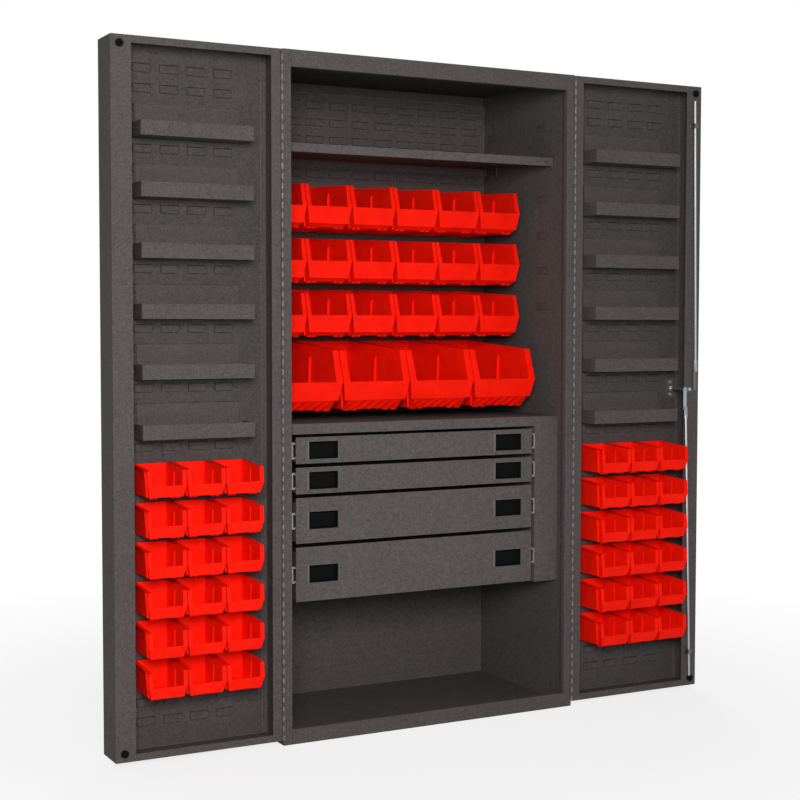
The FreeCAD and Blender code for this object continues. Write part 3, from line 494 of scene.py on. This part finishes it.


# Both sets of knuckles take lighter copies of the coat as a painted highlight: the body's much lighter, for
# the light dashes down the hinge, the door's a little lighter.
body_knuckle_highlight_coat = powder_coat("cabinet_knuckle_painted_highlight", (0.20, 0.19, 0.185))
door_knuckle_highlight_coat = powder_coat("door_knuckle_painted_highlight", (0.10, 0.092, 0.09))
pin_zinc = zinc("pin_zinc", (0.62, 0.63, 0.64))
KNUCKLE, KNUCKLE_RADIUS, KNUCKLE_GAP = 12.7, 2.6, 0.4
PIN_X, PIN_Y, LEAF_BOTTOM, LEAF_TOP = 458.7, -256.75, 16.0, 1824.8
LEAF_FRONT, LEAF_BACK, WRAP_BACK = -253.8, -236.0, -250.0
count = int((LEAF_TOP - LEAF_BOTTOM) / KNUCKLE)
length = (LEAF_TOP - LEAF_BOTTOM) / count
for way, hand in ((1, "right"), (-1, "left")):
    for part, body, x0, x1, first, finish in (("cabinet", "cabinet", 457.2, 458.4, 0, body_knuckle_highlight_coat),
                                              ("door", hand + "_door", 459.0, 460.2, 1, door_knuckle_highlight_coat)):
        leaf = Form()
        for number in range(first, count, 2):
            z0 = LEAF_BOTTOM + number * length + KNUCKLE_GAP
            z1 = LEAF_BOTTOM + (number + 1) * length - KNUCKLE_GAP
            ends = ((z0, 0.5), (z0 + 0.4, 0.0), (z1 - 0.4, 0.0), (z1, 0.5))
            leaf.loft(*[ring(way * PIN_X, PIN_Y, z, KNUCKLE_RADIUS - less) for z, less in ends])
            leaf.block(way * x0, way * x1, PIN_Y, WRAP_BACK, z0, z1)
        leaf.block(way * x0, way * x1, LEAF_FRONT, LEAF_BACK, LEAF_BOTTOM, LEAF_TOP)
        name = "%s_hinge_%s_knuckles" % (hand, part)
        settle(bpy.data.objects.new(name, leaf.mesh(name, finish)), body, ["%s_hinge_%s_leaf" % (hand, part)])
    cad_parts[hand + "_hinge_pin"].data.materials.clear()
    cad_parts[hand + "_hinge_pin"].data.materials.append(pin_zinc)


# Moulded bins: hoppers in bright red polypropylene that stack or hang. The low front has a
# turned-out lip, the sides lean in towards the floor, and each hangs by a hook at its back.
def red_plastic(name, colour):
    """Injection moulded polypropylene: faint flow clouds and a fine spark-eroded texture."""
    moulded = Finish(name)
    flow = moulded.grain(0.045, 2.0, 0.5)
    spark = moulded.grain(0.0032, 3.0, 0.6)
    darker = (colour[0] * 0.86, colour[1] * 0.6, colour[2] * 0.6)
    cloud = moulded.contrast(flow * 0.5 + spark * 0.5, 0.36, 0.6)
    return moulded.done(Base_Color=moulded.blend(cloud, darker, colour),
                        Roughness=flow * 0.1 + spark * 0.12 + 0.42, Specular_IOR_Level=0.08,
                        Normal=moulded.bumps(spark, 0.0001))


red = red_plastic("bin_red", (1.0, 0.0115, 0.0022))
BETWEEN_BINS = 0.8
PROUD = 0.8


class Hopper(Form):
    """One bin, drawn round x = 0 with a louvre's tip at z = 0 and its panel at y = 0."""

    def __init__(self, size):
        super().__init__()
        self.size = size
        self.middle = (size.width - BETWEEN_BINS) / 2 - 0.6
        self.rim, self.back = 2.2, -5.4
        self.ground = self.rim - size.height
        self.floor = self.ground + size.foot
        self.lip_y, self.lip_z = 0.9 - size.depth, self.ground + size.lip
        self.rim_y, self.rim_z = size.rim_back - size.depth, self.rim - size.rim_drop
        self.plate_y, self.plate_z = self.lip_y + size.foot_back * 0.55, self.lip_z - size.plate
        self.toe = size.foot_back - size.depth + size.heel
        self.low = self.middle - size.taper

    def half(self, z):
        """Half the tub's outer width at a height, since the sides lean in towards the floor."""
        return self.middle - self.size.flange - self.size.lean * 0.6 * (self.rim - z) / self.size.height

    def across(self, y, z, x):
        return [(-x, y, z), (x, y, z)]

    def between(self, start, end, push):
        """A solid from one line across the bin to another, and on along push."""
        self.plate(self.across(*start) + self.across(*end)[::-1], push)

    def line(self, x_low, low, x_high, high, half_width, push):
        """A raised line up the front, from x_low at the point low to x_high at the point high."""
        self.plate([(x_low - half_width, *low), (x_low + half_width, *low),
                    (x_high + half_width, *high), (x_high - half_width, *high)], (0, push, 0))

    def side(self, k):
        """The left wall, where k is -1, or the right one, with its flanges."""
        size, half, middle = self.size, self.half, self.middle
        outline = [(self.back, self.rim), (self.back, self.floor), (self.toe, self.floor),
                   (self.plate_y + 1, self.plate_z), (self.lip_y + 1, self.lip_z),
                   (self.rim_y + 0.5, self.rim_z)]
        self.loft([(k * half(z), y, z) for y, z in outline],
                  [(k * (half(z) - size.wall), y, z) for y, z in outline])
        lip, rim, back = (self.lip_y, self.lip_z), (self.rim_y, self.rim_z), (self.back, self.rim)
        lip_in, rim_in, back_in = (half(z) - size.wall for y, z in (lip, rim, back))
        inner = [(k * (rim_in - 0.3), *rim), (k * (lip_in - 0.3), *lip)]
        self.plate([(k * middle, *lip), (k * middle, *rim)] + inner, (0, 2.6, 0.5))
        self.plate([(k * middle, *rim), (k * middle, *back), (k * back_in, *back), (k * rim_in, *rim)],
                   (0, 0, -size.wall * 0.9))
        for share in size.ridges:
            step = (size.flange + size.wall) * share
            self.line(k * (lip_in + step), (self.lip_y, self.lip_z + 4), k * (rim_in + step),
                      (self.rim_y, self.rim_z - 2), 0.8, -0.9)

    def ribs(self, k):
        """The rib inside that a divider stands against, and the one under the flange outside."""
        size, half, floor, rim = self.size, self.half, self.floor, self.rim
        y, z = self.lip_y + size.depth * 0.46, rim - 30.0 * size.height / 137.0
        low, high = half(floor) - size.wall, half(z) - size.wall
        shape = ((low + 0.5, floor + 1), (low - size.rib, floor + 1), (high - size.rib, z - size.rib),
                 (high - size.rib * 0.4, z), (high + 0.5, z + 1))
        self.loft(*[[(k * x, depth, up) for x, up in shape] for depth in (y, y + size.rib)])
        y = self.lip_y + 20 + size.depth * 0.08
        shape = ((half(floor) - 0.5, floor), (half(floor) + 3.0, floor),
                 (half(rim) + size.flange * 0.9, self.rim_z - 1), (half(rim) - 0.5, self.rim_z - 1))
        self.loft(*[[(k * x, depth, up) for x, up in shape] for depth in (y, y + 2.6)])

    def feet(self, k):
        """Two nubs under each front corner, which locate the bin on the one below."""
        edge, toe = self.half(self.floor) - 2.0, self.toe
        for near, far in ((0.0, 0.42), (0.6, 1.0)):
            a, b = (k * (edge - self.size.width * 0.2 * share) for share in (near, far))
            high, low = (toe + 1, self.floor + 0.5), (toe + 2, self.ground)
            self.plate([(a, *high), (b, *high), (b, *low), (a, *low)], (0, 9, 0))

    def tub(self):
        """The floor and the back."""
        wall, back, floor, rim = self.size.wall, self.back, self.floor, self.rim
        base, top = self.half(floor) - 0.5, self.half(rim) - 0.5
        self.between((back, floor, base), (self.toe, floor, base), (0, 0, wall))
        self.loft(self.across(back - wall, floor, base) + self.across(back, floor, base)[::-1],
                  self.across(back - wall, rim, top) + self.across(back, rim, top)[::-1])

    def front(self):
        """The label plate, its rolled lip, and the recessed wall that runs down to the floor."""
        size, middle, y, z = self.size, self.middle, self.lip_y, self.lip_z
        self.between((self.plate_y, self.plate_z, self.low), (y, z, middle), (0, size.wall, 0.2 * size.wall))
        self.loft(*[[(x, y, z - 1.8), (x, y, z + 0.6), (x, y + 1.0, z + 1.4), (x, y + 3.8, z + 1.4),
                     (x, y + 3.8, z - 1.8)] for x in (-middle, middle)])
        self.between((self.plate_y + size.step, self.plate_z + 2, min(self.low, self.half(self.plate_z)) - 1),
                     (self.toe, self.floor, self.half(self.floor) - 0.5), (0, size.wall, size.wall * 0.5))

    def marks(self):
        """Raised lines on the plate: a border, upright lines, and slanted ribs on the wall below."""
        size, low, middle, border = self.size, self.low, self.middle, self.size.border
        for k in (-1, 1):
            self.line(k * (low - border), (self.plate_y, self.plate_z + border), k * (middle - border),
                      (self.lip_y, self.lip_z - border), 0.7, -PROUD)
        self.between((self.plate_y + 0.6, self.plate_z + border, low - border),
                     (self.plate_y + 0.4, self.plate_z + border + 1.4, low - border), (0, -1.1, 0))
        for share in size.lines:
            self.line(low * share, (self.plate_y, self.plate_z + 1), middle * share,
                      (self.lip_y, self.lip_z - 1), 0.8, -PROUD)
        for number in range(size.slanted):
            x = -low + 18 + (2 * low - 50) * number / (size.slanted - 1)
            foot, top = (self.toe, self.floor), (self.plate_y + size.step, self.plate_z)
            self.plate([(x - 16, *foot), (x - 11, *foot), (x + 13, *top), (x + 8, *top)], (0, -3.5, -1.0))

    def hook(self):
        """The lip at the back that goes down behind the louvres."""
        half = self.half(self.rim) - 1
        self.block(-half, half, self.back, -0.3, self.rim - 1.9, self.rim)
        self.block(-half, half, -2.2, -0.3, -7.0, self.rim - 1.9)

    def moulded(self, name):
        for k in (-1, 1):
            self.side(k)
            self.ribs(k)
            self.feet(k)
        self.tub()
        self.front()
        self.marks()
        self.hook()
        left = (self.size.width - BETWEEN_BINS) / 2
        self.corners = [(left + x, y, z) for x, y, z in self.corners]
        return self.mesh(name, red)


def hang_bins(name, mesh, body, node, width, count, start, y, top, rows=1):
    """Hangs bins side by side from start on the louvres at top, and rows of them below."""
    made = bpy.data.objects.new(name, mesh)
    made.location = (start * MM, y * MM, top * MM)
    settle(made, body, [node], 0.6, 1 if rows > 1 else 2)
    down = -2 * ROW_PITCH
    for direction, number, step in (("across", count, (width * MM, 0, 0)), ("down", rows, (0, 0, down * MM))):
        if number > 1:
            repeat = made.modifiers.new(direction, "ARRAY")
            repeat.count = number
            repeat.use_relative_offset = False
            repeat.use_constant_offset = True
            repeat.constant_offset_displace = step


SMALL = SimpleNamespace(
    width=104.8, depth=136.5, height=81.0, lip=33.0, plate=28.5, foot=3.6, rim_back=5.0, rim_drop=9.0,
    foot_back=15.0, heel=5.0, step=1.0, wall=2.2, flange=8.0, lean=3.0, taper=7.5, border=4.0, rib=3.0,
    ridges=(0.5,), lines=(-0.76, 0.76), slanted=0)
MEDIUM = SimpleNamespace(
    width=139.7, depth=277.0, height=137.0, lip=60.0, plate=47.5, foot=3.2, rim_back=20.0, rim_drop=15.0,
    foot_back=14.0, heel=18.0, step=3.0, wall=2.8, flange=7.5, lean=6.0, taper=8.0, border=5.0, rib=6.0,
    ridges=(0.45,), lines=(-0.8,), slanted=0)
LARGE = SimpleNamespace(
    width=209.5, depth=375.0, height=190.0, lip=81.0, plate=51.5, foot=3.6, rim_back=33.0, rim_drop=22.0,
    foot_back=25.0, heel=20.0, step=2.0, wall=3.2, flange=14.0, lean=9.0, taper=9.0, border=6.0, rib=7.0,
    ridges=(0.25, 0.5, 0.75), lines=(-0.33, 0.33), slanted=6)
small = Hopper(SMALL).moulded("small_bin")
medium = Hopper(MEDIUM).moulded("medium_bin")
large = Hopper(LARGE).moulded("large_bin")
MEDIUM_ROWS, LARGE_ROW, SMALL_ROW = (5, 8, 11), 14, 20
MEDIUM_START, LARGE_START = -425.0, -430.5
DOOR_EDGE, BINS_IN = 460.2, 70.6
for number, row in enumerate(MEDIUM_ROWS, 1):
    hang_bins("medium_hoppers_row_%d" % number, medium, "medium_row_%d" % number,
              "medium_bins_row_%d" % number, MEDIUM.width, 6, MEDIUM_START, BACK_PANEL_Y, TOPS[row])
hang_bins("large_hoppers", large, "large_row", "large_bins", LARGE.width, 4, LARGE_START, BACK_PANEL_Y,
          TOPS[LARGE_ROW])
DOOR_BINS_START = DOOR_EDGE + BINS_IN
hang_bins("right_small_hoppers", small, "right_small_bins", "right_door_bins", SMALL.width, 3,
          DOOR_BINS_START, DOOR_PANEL_Y, TOPS[SMALL_ROW], 6)
hang_bins("left_small_hoppers", small, "left_small_bins", "left_door_bins", SMALL.width, 3,
          BETWEEN_BINS - DOOR_BINS_START - 3 * SMALL.width, DOOR_PANEL_Y, TOPS[SMALL_ROW], 6)


# Door trays, the shelf and its clips: the trays and the shelf are folded from the body's sheet
# and powder coated, and the clips are pressed and zinc plated.
# The shelf and the drawer unit take a lighter copy of the body's coat: painted light that lifts them out of
# the shade inside the cabinet.
unit_painted_light_grey = powder_coat("unit_painted_light_grey", (0.1, 0.088, 0.087))
clip_zinc = zinc("clip_zinc", (0.3, 0.3, 0.3), 0.5)
for hand in ("left", "right"):
    rounded(hand + "_trays_folded", hand + "_door_trays", hand + "_trays", 0.6, grey)
rounded("shelf_folded", "shelf", "shelf", 1.2, unit_painted_light_grey)
rounded("shelf_clips_pressed", "shelf_clips", "cabinet", 0.5, clip_zinc)


# The drawer unit: two columns against the side walls, a top sheet and four drawers. All are
# folded from steel sheet and powder coated, and the columns are welded to the walls.
# Their coat is the lighter copy with painted light, made above.
rounded("unit_left_column", "drawer_unit_left_column", "cabinet", 1.8, unit_painted_light_grey)
rounded("unit_right_column", "drawer_unit_right_column", "cabinet", 1.8, unit_painted_light_grey)
rounded("unit_top_folded", "drawer_unit_top", "cabinet", 1.5, unit_painted_light_grey)
DRAWERS = (1, 2, 3, 4)
for number in DRAWERS:
    rounded("drawer_%d_folded" % number, "drawer_%d_box" % number, "drawer_%d" % number, 0.7, unit_painted_light_grey)


# Ball bearing slides: three channels to a side, bent from thin steel strip and zinc plated.
# The outer one is fixed to the column and the inner one to the drawer.
slide_zinc = zinc("slide_zinc", (0.42, 0.42, 0.41), 0.45)
rounded("slides_on_columns", "slide_cabinet_members", "cabinet", 0.4, slide_zinc)
for number in DRAWERS:
    rounded("drawer_%d_slide_middles" % number, "drawer_%d_slide_middle" % number,
            "drawer_%d_middle_members" % number, 0.4, slide_zinc)
    rounded("drawer_%d_slide_inners" % number, "drawer_%d_slide_inner" % number, "drawer_%d" % number, 0.4,
            slide_zinc)


# Recessed pulls: black nylon cups pushed into openings in the drawer fronts, each with a
# sloping bezel round it.
def black_plastic(name, colour, dull, sheen=0.3):
    """Glass filled nylon or rubber: near black with a fine grain."""
    moulded = Finish(name)
    spark = moulded.contrast(moulded.grain(0.002, 3.0, 0.65), 0.3, 0.7)
    cloud = moulded.grain(0.02, 2.0, 0.5)
    lighter = tuple(c * 2.4 for c in colour)
    return moulded.done(Base_Color=moulded.blend(spark * 0.6 + cloud * 0.4, colour, lighter),
                        Roughness=spark * 0.2 + (dull - 0.1), Specular_IOR_Level=sheen,
                        Normal=moulded.bumps(spark, 0.0004))


nylon = black_plastic("pull_nylon", (0.003, 0.0034, 0.0034), 0.8, 0.03)
bezel = black_plastic("pull_bezel", (0.06, 0.058, 0.056), 0.45)


def frame_loop(x, z, half_x, half_z, y):
    return [(x - half_x, y, z - half_z), (x + half_x, y, z - half_z), (x + half_x, y, z + half_z),
            (x - half_x, y, z + half_z)]


PULL_STEPS = ((44.0, 22.0, -165.3), (44.0, 22.0, -180.3), (47.6, 25.3, -180.3), (47.6, 25.3, -180.8),
              (43.4, 23.6, -182.3), (42.4, 22.6, -182.3), (41.6, 21.8, -181.0), (40.8, 21.0, -172.0),
              (39.5, 19.5, -167.3))
BEZEL_STEPS = (2, 3)
HALF_PULL = 47.65
for number in DRAWERS:
    low, high = (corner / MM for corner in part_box("drawer_%d_pulls" % number))
    z = (low[2] + high[2]) / 2
    pulls = Form()
    for x in (low[0] + HALF_PULL, high[0] - HALF_PULL):
        pulls.loft(*[frame_loop(x, z, a, b, y) for a, b, y in PULL_STEPS], trim=BEZEL_STEPS)
    name = "drawer_%d_cups" % number
    settle(bpy.data.objects.new(name, pulls.mesh(name, nylon, bezel)), "drawer_%d" % number,
           ["drawer_%d_pulls" % number])


# Bumpers: black rubber discs, fixed on both doors near their free corners, where they meet
# the header and the sill when a door shuts.
rubber = black_plastic("bumper_black", (0.0025, 0.004, 0.0045), 0.85, 0.02)
for hand in ("left", "right"):
    rounded(hand + "_bumper_discs", hand + "_door_bumpers", hand + "_door", 1.2, rubber)


# The three point lock: a chromed handle outside, a square spindle through the door with a
# toothed collar, a crank, two links and two zinc plated rods that slide in bent guides.
chrome = zinc("handle_chrome", (0.86, 0.87, 0.88), 0.2)
bright_zinc = zinc("nut_zinc", (0.85, 0.87, 0.9), 0.5)
blue_zinc = zinc("link_zinc", (0.36, 0.42, 0.47), 0.42)
rod_zinc = zinc("rod_zinc", (0.36, 0.38, 0.39), 0.42)
dull_zinc = zinc("crank_zinc", (0.16, 0.16, 0.155), 0.5)
spindle_zinc = zinc("spindle_zinc", (0.5, 0.49, 0.47), 0.45)
for node, body, radius, finish in (
        ("lock_handle", "handle", 1.2, chrome), ("handle_rose", "right_door", 1.0, chrome),
        ("lock_cam", "handle", 0.6, dull_zinc),
        ("upper_link", "upper_link", 0.5, dull_zinc), ("lower_link", "lower_link", 0.5, blue_zinc),
        ("upper_rod", "upper_rod", 0.4, rod_zinc), ("lower_rod", "lower_rod", 0.4, rod_zinc),
        ("rod_guides", "right_door", 0.4, dull_zinc)):
    rounded(node + "_finished", node, body, radius, finish)
rounded("lock_mount_plate_finished", "lock_mount_plate", "right_door", 0.5, grey)


def turned(x, y, z, radii, sides):
    """Corners round an axis along y, which take the radii in turn."""
    turns = [(radii[k % len(radii)], math.tau * k / sides) for k in range(sides)]
    return [(x + radius * math.cos(a), y, z + radius * math.sin(a)) for radius, a in turns]


low, high = (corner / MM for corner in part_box("lock_mount_nuts"))
radius, x = (high[0] - low[0]) / 2, (low[0] + high[0]) / 2
flat = radius * math.cos(math.pi / 6)
nuts = Form()
for z in (low[2] + flat, high[2] - flat):
    nuts.loft(turned(x, low[1] + 0.9, z, (radius,), 6), turned(x, high[1], z, (radius,), 6))
    nuts.loft(turned(x, low[1], z, (flat * 0.96,), 24), turned(x, low[1] + 1.2, z, (flat * 0.99,), 24))
settle(bpy.data.objects.new("lock_mount_nuts_finished", nuts.mesh("lock_mount_nuts_finished", bright_zinc)),
       "right_door", ["lock_mount_nuts"], 0.3)

low, high = (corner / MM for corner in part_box("lock_spindle"))
x, z = (low[0] + high[0]) / 2, (low[2] + high[2]) / 2
COLLAR_FRONT, COLLAR_BACK, COLLAR_TEETH = -176.0, -168.2, (9.0, 6.6)
spindle = Form()
spindle.block(low[0], high[0], low[1], high[1], low[2], high[2])
spindle.loft(*[turned(x, y, z, COLLAR_TEETH, 12) for y in (COLLAR_FRONT, COLLAR_BACK)], kind=1)
name = "lock_spindle_finished"
settle(bpy.data.objects.new(name, spindle.mesh(name, spindle_zinc, bright_zinc)), "handle", ["lock_spindle"],
       0.5)
